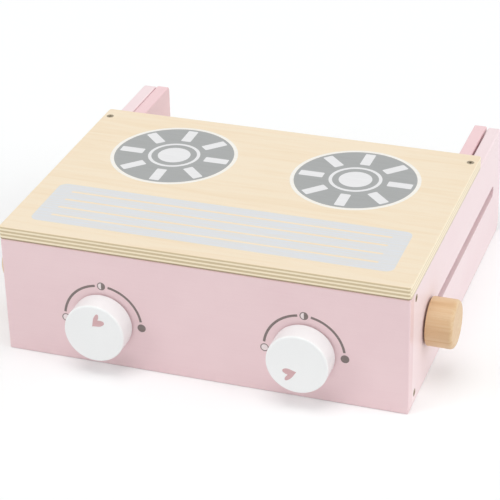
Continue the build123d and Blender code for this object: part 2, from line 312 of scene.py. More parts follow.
@dataclass(frozen=True)
class SprayedLacquer(Finish):
    """Pigmented lacquer sprayed on sanded wood: even, satin, with a faint orange peel and raised fibres.

    The fibres are drawn wider than real ones, which would be too fine to show.
    """

    colour: str
    deep: str
    grain: GrainAxis
    roughness: float = 0.36
    gloss_drift: float = 0.05
    coat: float = 0.3
    coat_roughness: float = 0.22
    ior: float = 1.5
    tone_stops: Point = (0.42, 0.86)
    cloud_mm: float = 60.0
    cloud_roughness: float = 0.55
    fibre_mm: Point = (26.0, 0.7)
    fibre_tone: float = 0.35
    fibre_relief: float = 0.4
    peel_mm: float = 1.8
    peel_depth_mm: float = 0.006

    def draw(self, canvas: Canvas) -> None:
        """Draws the pigment's faint clouds, the fibres under the film and the orange peel on it.

        Args:
            canvas: the material's tree, already started.
        """
        cloud = canvas.pattern((self.cloud_mm,) * 3, Fineness.FINE, Roughness=self.cloud_roughness)
        clouds = canvas.add("ShaderNodeTexNoise", cloud)
        fibre = canvas.pattern(self.grain.sizes(*self.fibre_mm), Fineness.FINE)
        fibres = canvas.add("ShaderNodeTexNoise", fibre)
        peel = canvas.add("ShaderNodeTexNoise", canvas.pattern((self.peel_mm,) * 3, Fineness.PLAIN))
        shade = canvas.add(
            "ShaderNodeMath",
            {0: fibres.outputs["Fac"], 1: self.fibre_tone, 2: clouds.outputs["Fac"]},
            operation="MULTIPLY_ADD",
        )
        stops = zip(self.tone_stops, (self.deep, self.colour))
        tone = canvas.add("ShaderNodeValToRGB", {"Fac": shade.outputs[0]}, stops)
        gloss_range = (self.roughness - self.gloss_drift, self.roughness + self.gloss_drift)
        gloss = canvas.add(
            "ShaderNodeMapRange", {"Value": clouds.outputs["Fac"], **ranges(WHOLE, gloss_range)}
        )
        relief = canvas.add(
            "ShaderNodeMath",
            {0: fibres.outputs["Fac"], 1: self.fibre_relief, 2: peel.outputs["Fac"]},
            operation="MULTIPLY_ADD",
        )
        canvas.bump(relief.outputs[0], self.peel_depth_mm)
        coat = {"Coat_Weight": self.coat, "Coat_Roughness": self.coat_roughness}
        canvas.paint(tone.outputs["Color"], gloss.outputs[0], IOR=self.ior, **coat)


@dataclass(frozen=True)
class BirchPlywood(Finish):
    """Clear-coated birch plywood: creamy rotary-cut face, with its plies open at the sawn edges.

    Fibres and pores are drawn wider than real ones, which would be too fine to show.
    """

    bottom: float
    thickness: float
    plies: int = 7
    ior: float = 1.48
    face_range: Point = (0.5, 0.8)
    side_facing: float = 0.7

    face_pale: str = "#F4E4CA"
    face_mid: str = "#F3E1C5"
    face_deep: str = "#F0DCBD"
    face_stops: Triple = (0.60, 0.86, 1.0)
    figure_mm: Point = (95.0, 6.5)
    figure_waver: float = 0.6
    fibre_mm: Point = (22.0, 0.55)
    fibre_share: float = 0.45
    drift_mm: float = 130.0
    drift_share: float = 0.4
    pore: str = "#E5CDA7"
    pore_mm: Point = (3.2, 0.30)
    pore_range: Point = (0.66, 0.78)
    pore_share: float = 0.35

    ply_pale: str = "#FBEED1"
    ply_deep: str = "#D4C19D"
    ply_stops: Point = (0.62, 0.98)
    glue_wander: float = 0.45
    glue_wander_mm: float = 9.0
    sawn_fibre_mm: Triple = (1.6, 1.6, 0.35)
    sawn_fibre_share: float = 0.25
    ply_drift_mm: float = 180.0
    ply_drift_share: float = 0.5
    # Painted light: the side edges are mixed towards a pale cream, standing in for the light that they
    # catch from the side.
    sanded_pale: str = "#FEF3DA"
    sanded_share: float = 0.42
    # Painted shade: the lower arris of the sawn edge darkens towards the bottom, standing in for the
    # shadow line under the top's edge.
    soil: str = "#84705F"
    soil_share: float = 0.9
    arris_mm: float = 1.5
    arris_full_soil: float = 0.4

    coat_fibre_mm: Point = (9.0, 0.4)
    coat_relief_mm: float = 0.012
    gloss_range: Point = (0.42, 0.56)

    def face(self, canvas: Canvas) -> Any:
        """Draws the face veneer: broad figure, fine fibres and short pores along X.

        Args:
            canvas: the material's tree.

        Returns:
            The colour's socket.
        """
        along = GrainAxis.X.sizes
        broad = canvas.pattern(along(*self.figure_mm), Fineness.FIBROUS, Distortion=self.figure_waver)
        figure = canvas.add("ShaderNodeTexNoise", broad)
        fibres = canvas.add("ShaderNodeTexNoise", canvas.pattern(along(*self.fibre_mm), Fineness.FINE))
        drift = canvas.add("ShaderNodeTexNoise", canvas.pattern((self.drift_mm,) * 3, Fineness.PLAIN))
        pores = canvas.add("ShaderNodeTexNoise", canvas.pattern(along(*self.pore_mm), Fineness.PLAIN))
        fine = canvas.add(
            "ShaderNodeMath",
            {0: fibres.outputs["Fac"], 1: self.fibre_share, 2: figure.outputs["Fac"]},
            operation="MULTIPLY_ADD",
        )
        whole = canvas.add(
            "ShaderNodeMath",
            {0: drift.outputs["Fac"], 1: self.drift_share, 2: fine.outputs[0]},
            operation="MULTIPLY_ADD",
        )
        stops = zip(self.face_stops, (self.face_deep, self.face_mid, self.face_pale))
        veneer = canvas.add("ShaderNodeValToRGB", {"Fac": whole.outputs[0]}, stops)
        opening = ranges(self.pore_range, (0.0, self.pore_share))
        open_pore = canvas.add("ShaderNodeMapRange", {"Value": pores.outputs["Fac"], **opening})
        mixed = canvas.add(
            "ShaderNodeMix",
            {
                MIX_SHARE: open_pore.outputs[0],
                MIX_UNDER: veneer.outputs["Color"],
                MIX_OVER: linear(self.pore),
            },
            data_type="RGBA",
        )
        return mixed.outputs[MIXED]

    def plies_open(self, canvas: Canvas, on_side: Any) -> Any:
        """Draws the plies: end grain is darker than long grain, and they swap on the side edges.

        Args:
            canvas: the material's tree.
            on_side: a socket that is 1 on the side edges.

        Returns:
            The colour's socket.
        """
        ply = self.thickness / self.plies
        two_plies_a_wave = {"Scale": ONE_WAVE_A_UNIT / 2, "Distortion": self.glue_wander}
        stack = canvas.pattern(
            (self.glue_wander_mm, self.glue_wander_mm, ply),
            Fineness.SOFT,
            (0.0, 0.0, 0.5 - self.bottom / ply),
            Detail_Scale=1.0,
        )
        layers = canvas.add("ShaderNodeTexWave", stack | two_plies_a_wave, bands_direction="Z")
        swapped = canvas.add(
            "ShaderNodeMath", {0: layers.outputs["Fac"], 1: on_side}, operation="SUBTRACT"
        )
        end_grain = canvas.add("ShaderNodeMath", {0: swapped.outputs[0]}, operation="ABSOLUTE")
        fibres = canvas.add("ShaderNodeTexNoise", canvas.pattern(self.sawn_fibre_mm, Fineness.FINE))
        rough_sawn = canvas.add(
            "ShaderNodeMath",
            {0: fibres.outputs["Fac"], 1: self.sawn_fibre_share, 2: end_grain.outputs[0]},
            operation="MULTIPLY_ADD",
        )
        drift = canvas.pattern((self.ply_drift_mm, self.ply_drift_mm, ply), Fineness.PLAIN)
        uneven = canvas.add("ShaderNodeTexNoise", drift)
        shade = canvas.add(
            "ShaderNodeMath",
            {0: uneven.outputs["Fac"], 1: self.ply_drift_share, 2: rough_sawn.outputs[0]},
            operation="MULTIPLY_ADD",
        )
        stops = zip(self.ply_stops, (self.ply_pale, self.ply_deep))
        return canvas.add("ShaderNodeValToRGB", {"Fac": shade.outputs[0]}, stops).outputs["Color"]

    def edge(self, canvas: Canvas, normal: Any) -> Any:
        """Draws the sawn edge: plies, made paler on the side edges by painted light, and darkened towards
        the bottom of the lower arris by painted shade.

        Args:
            canvas: the material's tree.
            normal: the separated surface normal.

        Returns:
            The colour's socket.
        """
        facing_x = canvas.add("ShaderNodeMath", {0: normal.outputs["X"]}, operation="ABSOLUTE")
        on_side = canvas.add(
            "ShaderNodeMath", {0: facing_x.outputs[0], 1: self.side_facing}, operation="GREATER_THAN"
        ).outputs[0]
        # Painted light on the side edges, mixed towards a pale cream.
        side_lit = canvas.add("ShaderNodeMath", {0: on_side, 1: self.sanded_share}, operation="MULTIPLY")
        paler = canvas.add(
            "ShaderNodeMix",
            {
                MIX_SHARE: side_lit.outputs[0],
                MIX_UNDER: self.plies_open(canvas, on_side),
                MIX_OVER: linear(self.sanded_pale),
            },
            data_type="RGBA",
        )
        height = canvas.add("ShaderNodeSeparateXYZ", {"Vector": canvas.surface.outputs["Object"]})
        # Painted shade on the lower arris, fading in towards the bottom.
        arris_top = (self.bottom + self.arris_mm) * MM
        full_shade_top = (self.bottom + self.arris_full_soil * self.arris_mm) * MM
        fading = ranges((arris_top, full_shade_top), (0.0, self.soil_share))
        arris = canvas.add("ShaderNodeMapRange", {"Value": height.outputs["Z"], **fading})
        groove_shaded = canvas.add(
            "ShaderNodeMix",
            {
                MIX_SHARE: arris.outputs[0],
                MIX_UNDER: paler.outputs[MIXED],
                MIX_OVER: linear(self.soil),
            },
            data_type="RGBA",
        )
        return groove_shaded.outputs[MIXED]

    def draw(self, canvas: Canvas) -> None:
        """Draws the face on what looks up or down and the plies on what looks sideways.

        Args:
            canvas: the material's tree, already started.
        """
        normal = canvas.add("ShaderNodeSeparateXYZ", {"Vector": canvas.surface.outputs["Normal"]})
        upright = canvas.add("ShaderNodeMath", {0: normal.outputs["Z"]}, operation="ABSOLUTE")
        facing = {"Value": upright.outputs[0], **ranges(self.face_range)}
        on_face = canvas.add("ShaderNodeMapRange", facing)
        colour = canvas.add(
            "ShaderNodeMix",
            {
                MIX_SHARE: on_face.outputs[0],
                MIX_UNDER: self.edge(canvas, normal),
                MIX_OVER: self.face(canvas),
            },
            data_type="RGBA",
        )
        coated = canvas.pattern(GrainAxis.X.sizes(*self.coat_fibre_mm), Fineness.FIBROUS)
        fibres = canvas.add("ShaderNodeTexNoise", coated)
        shine = {"Value": fibres.outputs["Fac"], **ranges(WHOLE, self.gloss_range)}
        gloss = canvas.add("ShaderNodeMapRange", shine)
        canvas.bump(fibres.outputs["Fac"], self.coat_relief_mm)
        canvas.paint(colour.outputs[MIXED], gloss.outputs[0], IOR=self.ior)


@dataclass(frozen=True)
class SolidWood(Finish):
    """Solid wood with true growth rings round a pith beside the piece, so ends and sides agree.

    Fibres are drawn wider than real ones, which would be too fine to show. Each share is a pair, for long
    grain and for the sawn or turned ends.
    """

    grain: GrainAxis
    pale: str
    mid: str
    deep: str
    fleck: str
    ring_mm: float
    ring_share: Point
    fleck_mm: Point
    fleck_share: Point
    roughness: float
    gloss_drift: float = 0.06
    ior: float = 1.47
    tone_stops: Triple = (0.52, 0.78, 1.0)
    pith_mm: Triple = (38.0, 55.0, 47.0)
    ring_waver: float = 2.6
    ring_waver_scale: float = 0.35
    fibre_mm: Point = (24.0, 0.6)
    fibre_share: Point = (0.35, 0.1)
    streak_mm: Point = (60.0, 3.2)
    fleck_range: Point = (0.64, 0.74)
    end_range: Point = (0.5, 0.95)
    relief_mm: float = 0.015

    def share(self, canvas: Canvas, pair: Point) -> Any:
        """Gives a pattern's share, which differs between long grain and the ends.

        Args:
            canvas: the material's tree.
            pair: the share where the surface runs along the fibres, and where it cuts them.

        Returns:
            The share's socket.
        """
        facing = canvas.add("ShaderNodeSeparateXYZ", {"Vector": canvas.surface.outputs["Normal"]})
        cut = canvas.add("ShaderNodeMath", {0: facing.outputs[self.grain.name]}, operation="ABSOLUTE")
        blend = {"Value": cut.outputs[0], **ranges(self.end_range, pair)}
        return canvas.add("ShaderNodeMapRange", blend).outputs[0]

    def draw(self, canvas: Canvas) -> None:
        """Draws growth rings, fibres, streaks and flecks.

        Args:
            canvas: the material's tree, already started.
        """
        grown = canvas.pattern(
            (self.ring_mm,) * 3,
            Fineness.SOFT,
            tuple(offset / self.ring_mm for offset in self.pith_mm),
            Distortion=self.ring_waver,
            Detail_Scale=self.ring_waver_scale,
        )
        rings = canvas.add(
            "ShaderNodeTexWave",
            grown | {"Scale": ONE_WAVE_A_UNIT},
            wave_type="RINGS",
            rings_direction=self.grain.name,
        )
        sizes = self.grain.sizes
        fibres = canvas.add("ShaderNodeTexNoise", canvas.pattern(sizes(*self.fibre_mm), Fineness.FIBROUS))
        streaks = canvas.add("ShaderNodeTexNoise", canvas.pattern(sizes(*self.streak_mm), Fineness.SOFT))
        flecks = canvas.add("ShaderNodeTexNoise", canvas.pattern(sizes(*self.fleck_mm), Fineness.PLAIN))
        ring_share = self.share(canvas, self.ring_share)
        ringed = canvas.add(
            "ShaderNodeMath",
            {0: rings.outputs["Fac"], 1: ring_share, 2: streaks.outputs["Fac"]},
            operation="MULTIPLY_ADD",
        )
        whole = canvas.add(
            "ShaderNodeMath",
            {0: fibres.outputs["Fac"], 1: self.share(canvas, self.fibre_share), 2: ringed.outputs[0]},
            operation="MULTIPLY_ADD",
        )
        stops = zip(self.tone_stops, (self.pale, self.mid, self.deep))
        wood = canvas.add("ShaderNodeValToRGB", {"Fac": whole.outputs[0]}, stops)
        fading = ranges(self.fleck_range, (0.0, self.share(canvas, self.fleck_share)))
        marks = canvas.add("ShaderNodeMapRange", {"Value": flecks.outputs["Fac"], **fading})
        colour = canvas.add(
            "ShaderNodeMix",
            {
                MIX_SHARE: marks.outputs[0],
                MIX_UNDER: wood.outputs["Color"],
                MIX_OVER: linear(self.fleck),
            },
            data_type="RGBA",
        )
        gloss_range = (self.roughness - self.gloss_drift, self.roughness + self.gloss_drift)
        gloss = canvas.add(
            "ShaderNodeMapRange", {"Value": fibres.outputs["Fac"], **ranges(WHOLE, gloss_range)}
        )
        canvas.bump(fibres.outputs["Fac"], self.relief_mm)
        canvas.paint(colour.outputs[MIXED], gloss.outputs[0], IOR=self.ior)


@dataclass(frozen=True)
class Metal(Finish):
    """Bare or plated metal with fine tool marks, and a skin that is duller here and there."""

    colour: str
    stain: str
    roughness: float
    brighter: float = 0.08
    duller: float = 0.1
    skin_mm: float = 2.4
    stain_stops: Point = (0.35, 0.75)
    mark_mm: float = 0.25
    mark_depth_mm: float = 0.004

    def draw(self, canvas: Canvas) -> None:
        """Draws the stained skin and the tool marks.

        Args:
            canvas: the material's tree, already started.
        """
        skin = canvas.add("ShaderNodeTexNoise", canvas.pattern((self.skin_mm,) * 3, Fineness.FIBROUS))
        marks = canvas.add("ShaderNodeTexNoise", canvas.pattern((self.mark_mm,) * 3, Fineness.SOFT))
        stops = zip(self.stain_stops, (self.colour, self.stain))
        tone = canvas.add("ShaderNodeValToRGB", {"Fac": skin.outputs["Fac"]}, stops)
        dullness = ranges(WHOLE, (self.roughness - self.brighter, self.roughness + self.duller))
        dull = canvas.add("ShaderNodeMapRange", {"Value": skin.outputs["Fac"], **dullness})
        canvas.bump(marks.outputs["Fac"], self.mark_depth_mm)
        canvas.paint(tone.outputs["Color"], dull.outputs[0], Metallic=1.0)


@dataclass(frozen=True)
class MouldedNylon(Finish):
    """Natural nylon out of a mould: off-white, slightly waxy, with a fine spark-eroded grain."""

    colour: str = "#EDEAE1"
    deep: str = "#E2DDD0"
    roughness: float = 0.42
    ior: float = 1.53
    glow: float = 0.1
    glow_mm: float = 2.0
    wax_mm: float = 6.0
    wax_stops: Point = (0.35, 0.7)
    grain_mm: float = 0.3
    grain_depth_mm: float = 0.006

    def draw(self, canvas: Canvas) -> None:
        """Draws the waxy tone and the mould's grain.

        Args:
            canvas: the material's tree, already started.
        """
        wax = canvas.add("ShaderNodeTexNoise", canvas.pattern((self.wax_mm,) * 3, Fineness.SOFT))
        grain = canvas.add("ShaderNodeTexNoise", canvas.pattern((self.grain_mm,) * 3, Fineness.PLAIN))
        stops = zip(self.wax_stops, (self.colour, self.deep))
        tone = canvas.add("ShaderNodeValToRGB", {"Fac": wax.outputs["Fac"]}, stops)
        canvas.bump(grain.outputs["Fac"], self.grain_depth_mm)
        glow = {"Subsurface_Weight": self.glow, "Subsurface_Scale": self.glow_mm * MM}
        canvas.paint(tone.outputs["Color"], self.roughness, IOR=self.ior, **glow)


@dataclass(frozen=True)
class PrintedInk(Finish):
    """Opaque ink in a film so thin that the fibres of the wood below show as faint streaks in it."""

    colour: str
    thin: str
    roughness: float = 0.46
    ior: float = 1.5
    streak_mm: Point = (30.0, 1.6)
    dot_mm: float = 0.35
    dot_share: float = 0.3
    film_stops: Point = (0.5, 0.85)
    film_relief_mm: float = 0.006

    def draw(self, canvas: Canvas) -> None:
        """Draws the streaks where the film is thinner, and the grain of the ink.

        Args:
            canvas: the material's tree, already started.
        """
        streak = canvas.pattern(GrainAxis.X.sizes(*self.streak_mm), Fineness.FINE)
        streaks = canvas.add("ShaderNodeTexNoise", streak)
        dots = canvas.add("ShaderNodeTexNoise", canvas.pattern((self.dot_mm,) * 3, Fineness.PLAIN))
        film = canvas.add(
            "ShaderNodeMath",
            {0: dots.outputs["Fac"], 1: self.dot_share, 2: streaks.outputs["Fac"]},
            operation="MULTIPLY_ADD",
        )
        stops = zip(self.film_stops, (self.colour, self.thin))
        tone = canvas.add("ShaderNodeValToRGB", {"Fac": film.outputs[0]}, stops)
        canvas.bump(film.outputs[0], self.film_relief_mm)
        canvas.paint(tone.outputs["Color"], self.roughness, IOR=self.ior)


# The front board and the arms are dusty pink, the side boards much paler and less glossy, and the
# control knobs a cool white that shines a little more.
PINK_FRONT = SprayedLacquer("pink_lacquer_front_board", "#F2D6D9", "#EED0D4", GrainAxis.X)
PINK_ARM = SprayedLacquer("pink_lacquer_arm", "#F2CFD2", "#EEC9CD", GrainAxis.Y)
PALE_PINK_SIDE = SprayedLacquer(
    "pale_pink_lacquer_side_board", "#F4E2E4", "#F2DCDF", GrainAxis.Y, roughness=0.5, coat=0.1
)
WHITE_KNOB = SprayedLacquer(
    "white_lacquer_turned_knob", "#F9FBFB", "#F6F8F8", GrainAxis.Y, roughness=0.3, peel_depth_mm=0.004
)

# Zinc plate is cool and bright, the wood screws look brown and dull, and the inserts are yellow.
ZINC_STEEL = Metal("zinc_plated_steel", "#C9CBCB", "#B7B6AE", 0.32)
SCREW_STEEL = Metal("bronzed_screw_steel", "#B0A48E", "#8A7F6C", 0.42)
TURNED_BRASS = Metal("turned_brass", "#D9B36A", "#C39A55", 0.28)
NYLON = MouldedNylon("moulded_nylon")

# On the hob, a white base shows as a rim round the grey burners, and the grille is a cool pale grey.
WHITE_INK = PrintedInk("white_base_ink", "#F7F5F0", "#F4EFE4")
GREY_INK = PrintedInk("burner_grey_ink", "#A5A7A7", "#A0A2A1")
PALE_INK = PrintedInk("burner_pale_ink", "#EBEBEC", "#E7E7E8")
GRILLE_INK = PrintedInk("grille_blue_grey_ink", "#DDE1E6", "#E0DEDA")

# In front, on smooth paint, the inks have a little more gloss.
DIAL_INK = PrintedInk("dial_dark_grey_ink", "#857A78", "#80736F", roughness=0.4)
DIAL_PALE_INK = PrintedInk("dial_pale_ink", "#F3E8E8", "#F0E2E3", roughness=0.4)
HEART_INK = PrintedInk("dusty_pink_ink", "#DAB4B6", "#D5ADB0", roughness=0.4)


def beech(name: str, grain: GrainAxis) -> SolidWood:
    """Oiled European beech, turned: warm tan, fine even texture and short brown ray flecks.

    Args:
        name: the material's name.
        grain: the axis of the fibres.

    Returns:
        The finish.
    """
    return SolidWood(
        name,
        grain,
        pale="#E4C69E",
        mid="#DEBB90",
        deep="#D5AF83",
        fleck="#C0996F",
        ring_mm=2.8,
        ring_share=(0.08, 0.2),
        fleck_mm=(2.6, 0.4),
        fleck_share=(0.3, 0.05),
        roughness=0.42,
    )


def spruce(name: str, grain: GrainAxis) -> SolidWood:
    """Planed bare spruce: pale straw, with plain darker late wood in each growth ring.

    Args:
        name: the material's name.
        grain: the axis of the fibres.

    Returns:
        The finish.
    """
    return SolidWood(
        name,
        grain,
        pale="#F3E2BD",
        mid="#EACF9C",
        deep="#D2A869",
        fleck="#C99C5C",
        ring_mm=2.2,
        ring_share=(0.22, 0.2),
        fleck_mm=(5.0, 0.5),
        fleck_share=(0.25, 0.05),
        roughness=0.6,
    )


def place_in_scene(name: str, content: bpy.types.ID) -> bpy.types.Object:
    """Makes an object of a mesh, a lamp or a camera, at the origin.

    Args:
        name: the object's name.
        content: what the object shows.

    Returns:
        The object.
    """
    made = bpy.data.objects.new(name, content)
    bpy.context.scene.collection.objects.link(made)
    return made


def new_piece(
    name: str, shape: bmesh.types.BMesh, finish: Finish, body: str
) -> bpy.types.Object:
    """Turns a finished bmesh, in metres and in place, to a piece that rides on a body.

    Args:
        name: the piece's name.
        shape: the mesh, which is freed.
        finish: what it is dressed in.
        body: the body that carries it.

    Returns:
        The new object.
    """
    bmesh.ops.remove_doubles(shape, verts=shape.verts, dist=WELD_MM * MM)
    bmesh.ops.recalc_face_normals(shape, faces=shape.faces)
    mesh = bpy.data.meshes.new(name)
    shape.to_mesh(mesh)
    shape.free()
    mesh.materials.append(finish.material())
    piece = place_in_scene(name, mesh)
    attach(piece, body)
    log.info("piece %s: %d faces on %s", name, len(mesh.polygons), body)
    return piece


class InkSheet:
    """One ink of a print, drawn flat in mm: x to the right, y up the print, z out of the surface."""

    def __init__(self, bottom: float, top: float) -> None:
        """Starts an empty film.

        Args:
            bottom: where the film starts, in mm above the surface.
            top: where it ends.
        """
        self.shape = bmesh.new()
        self.bottom = bottom
        self.top = top

    def thicken(self, faces: list[bmesh.types.BMFace]) -> None:
        """Makes flat faces at z 0 a closed film.

        Args:
            faces: the faces, which become its underside.
        """
        flat = {vert for face in faces for vert in face.verts}
        bmesh.ops.translate(self.shape, verts=list(flat), vec=(0, 0, self.bottom))
        grown = bmesh.ops.extrude_face_region(self.shape, geom=faces, use_keep_orig=True)
        raised = [item for item in grown["geom"] if isinstance(item, bmesh.types.BMVert)]
        bmesh.ops.translate(self.shape, verts=raised, vec=(0, 0, self.top - self.bottom))

    def disc(self, radius: float, centre: Point = ORIGIN) -> None:
        """Adds a full circle.

        Args:
            radius: its radius.
            centre: its middle.
        """
        made = bmesh.ops.create_circle(
            self.shape,
            cap_ends=True,
            segments=CIRCLE_STEPS,
            radius=radius,
            matrix=Matrix.Translation((*centre, 0)),
        )
        self.thicken(list({face for vert in made["verts"] for face in vert.link_faces}))

    def arc(
        self, inner: float, outer: float, start: float, sweep: float, centre: Point = ORIGIN
    ) -> None:
        """Adds a ring, or a stretch of one.

        Args:
            inner: inner radius, 0 for a sector.
            outer: outer radius.
            start: the angle where it starts, in degrees from +x.
            sweep: how far it goes round, in degrees, 360 for a whole ring.
            centre: the middle of the ring.
        """
        direction = Vector((math.cos(math.radians(start)), math.sin(math.radians(start)), 0))
        middle = Vector((*centre, 0))
        ends = [self.shape.verts.new(middle + direction * radius) for radius in (inner, outer)]
        edge = self.shape.edges.new(ends)
        before = set(self.shape.faces)
        bmesh.ops.spin(
            self.shape,
            geom=[*ends, edge],
            cent=middle,
            axis=(0, 0, 1),
            angle=math.radians(sweep),
            steps=max(FEWEST_ARC_STEPS, round(CIRCLE_STEPS * sweep / 360)),
            use_merge=sweep >= 360,
        )
        swept = [face for face in self.shape.faces if face not in before]
        if inner == 0:
            corners = list({vert for face in swept for vert in face.verts})
            bmesh.ops.remove_doubles(self.shape, verts=corners, dist=WELD_MM)
            swept = [face for face in self.shape.faces if face not in before]
        self.thicken(swept)

    def outline(self, size: Point, corner: float, place: Matrix) -> list[bmesh.types.BMEdge]:
        """Draws a rectangle with round corners and leaves only its edges.

        Args:
            size: its width and height.
            corner: the radius of its corners.
            place: where it goes.

        Returns:
            The edges.
        """
        before = set(self.shape.faces)
        verts = bmesh.ops.create_grid(self.shape, x_segments=1, y_segments=1, size=0.5)["verts"]
        bmesh.ops.scale(self.shape, verts=verts, vec=(*size, 1))
        bmesh.ops.transform(self.shape, verts=verts, matrix=place)
        bmesh.ops.bevel(
            self.shape,
            geom=verts,
            offset=corner,
            affect="VERTICES",
            segments=CORNER_STEPS,
            profile=0.5,
            material=-1,
        )
        rounded = [face for face in self.shape.faces if face not in before]
        edges = list({edge for face in rounded for edge in face.edges})
        bmesh.ops.delete(self.shape, geom=rounded, context="FACES_ONLY")
        return edges

    def panel(
        self, size: Point, corner: float, place: Matrix, holes: list[tuple[Point, float, Matrix]]
    ) -> None:
        """Adds a rectangle with round corners, with smaller ones left open in it.

        Args:
            size: its width and height.
            corner: the radius of its corners.
            place: where it goes.
            holes: the size, corner and place of each opening.
        """
        edges = self.outline(size, corner, place)
        for hole in holes:
            edges += self.outline(*hole)
        filled = bmesh.ops.triangle_fill(self.shape, edges=edges, use_beauty=True, use_dissolve=False)
        self.thicken([item for item in filled["geom"] if isinstance(item, bmesh.types.BMFace)])

    def done(self, place: Matrix) -> bmesh.types.BMesh:
        """Puts the film in place.

        Args:
            place: where the print goes on the toy, in mm, its surface being at z 0 of the print.

        Returns:
            The mesh in metres.
        """
        bmesh.ops.transform(self.shape, verts=self.shape.verts, matrix=Matrix.Scale(MM, 4) @ place)
        return self.shape


def box_mm(node: str) -> tuple[Vector, Vector]:
    """Gives a node's lowest and highest corner in mm.

    Args:
        node: the node's name.

    Returns:
        The two corners.
    """
    low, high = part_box(node)
    return low / MM, high / MM


@dataclass
class Wardrobe:
    """Dresses the model's own nodes."""

    nodes: dict[str, bpy.types.Object]
    dressed: set[str] = field(default_factory=set)

    def dress(self, finish: Finish, *names: str) -> None:
        """Gives nodes a finish.

        Args:
            finish: the finish.
            names: the nodes.
        """
        for name in names:
            mesh = self.nodes[name].data
            mesh.materials.clear()
            mesh.materials.append(finish.material())
            self.dressed.add(name)
            log.info("node %s in %s", name, finish.name)

    def check(self) -> None:
        """Stops the script if a node was forgotten."""
        forgotten = set(self.nodes) - self.dressed
        if forgotten:
            raise ValueError(f"no finish for {sorted(forgotten)}")


@dataclass
class HobTop:
    """The plywood top with its two burners and its grille, printed in thin inks."""

    ink_bottom: float = -0.02
    base_ink: float = 0.04
    second_ink: float = 0.07
    third_ink: float = 0.10
    ink_lap: float = 0.02

    burner_spacing: float = 142.35
    burner_pair_left: float = 0.3
    burner_from_front: float = 142.1
    burner_rim_radius: float = 48.3
    burner_disc_radius: float = 45.4
    ring_radii: Point = (17.2, 19.8)
    centre_radius: float = 12.4
    bar_count: int = 8
    bar_width: float = 7.8
    bar_reach: Point = (24.5, 42.9)
    bar_corner: float = 1.0

    grille_size: Point = (267.2, 58.2)
    grille_from_front: float = 45.9
    grille_left: float = 0.75
    grille_corner: float = 6.0
    line_count: int = 4
    line_pitch: float = 12.15
    line_width: float = 2.2
    line_rounding: float = 0.48
    line_margin: float = 12.6

    def print_burner(self, side: Side) -> None:
        """Prints one burner: a white base, a grey disc on it and the pale marks on that.

        Args:
            side: which burner.
        """
        low, high = box_mm("hob_top")
        x = (low.x + high.x) / 2 - self.burner_pair_left + side.value * self.burner_spacing / 2
        place = Matrix.Translation((x, low.y + self.burner_from_front, high.z))

        base = InkSheet(self.ink_bottom, self.base_ink)
        base.disc(self.burner_rim_radius)
        new_piece(f"burner_rim_{side.word}", base.done(place), WHITE_INK, "carcass")

        disc = InkSheet(self.base_ink - self.ink_lap, self.second_ink)
        disc.disc(self.burner_disc_radius)
        new_piece(f"burner_disc_{side.word}", disc.done(place), GREY_INK, "carcass")

        marks = InkSheet(self.second_ink - self.ink_lap, self.third_ink)
        marks.disc(self.centre_radius)
        marks.arc(*self.ring_radii, 0, 360)
        near, far = self.bar_reach
        for number in range(self.bar_count):
            turn = Matrix.Rotation(2 * math.pi * number / self.bar_count, 4, "Z")
            bar = turn @ Matrix.Translation(((near + far) / 2, 0, 0))
            marks.panel((far - near, self.bar_width), self.bar_corner, bar, [])
        new_piece(f"burner_marks_{side.word}", marks.done(place), PALE_INK, "carcass")

    def print_grille(self) -> None:
        """Prints the grille: one pale panel with thin lines left bare in it.

        The lines' corners take nearly half of their width, which leaves their ends all but round.
        """
        low, high = box_mm("hob_top")
        middle = (low.x + high.x) / 2 - self.grille_left
        place = Matrix.Translation((middle, low.y + self.grille_from_front, high.z))
        line = (self.grille_size[0] - 2 * self.line_margin, self.line_width)
        corner = self.line_width * self.line_rounding
        nearest = -self.line_pitch * (self.line_count - 1) / 2
        gaps = [
            (line, corner, Matrix.Translation((0, nearest + self.line_pitch * number, 0)))
            for number in range(self.line_count)
        ]
        film = InkSheet(self.ink_bottom, self.base_ink)
        film.panel(self.grille_size, self.grille_corner, Matrix.Identity(4), gaps)
        new_piece("grille_print", film.done(place), GRILLE_INK, "carcass")

    def build(self, wardrobe: Wardrobe) -> None:
        """Dresses the top and prints on it.

        Args:
            wardrobe: what dresses the nodes.
        """
        low, high = box_mm("hob_top")
        wardrobe.dress(BirchPlywood("clear_coated_birch", low.z, high.z - low.z), "hob_top")
        for side in Side:
            self.print_burner(side)
        self.print_grille()


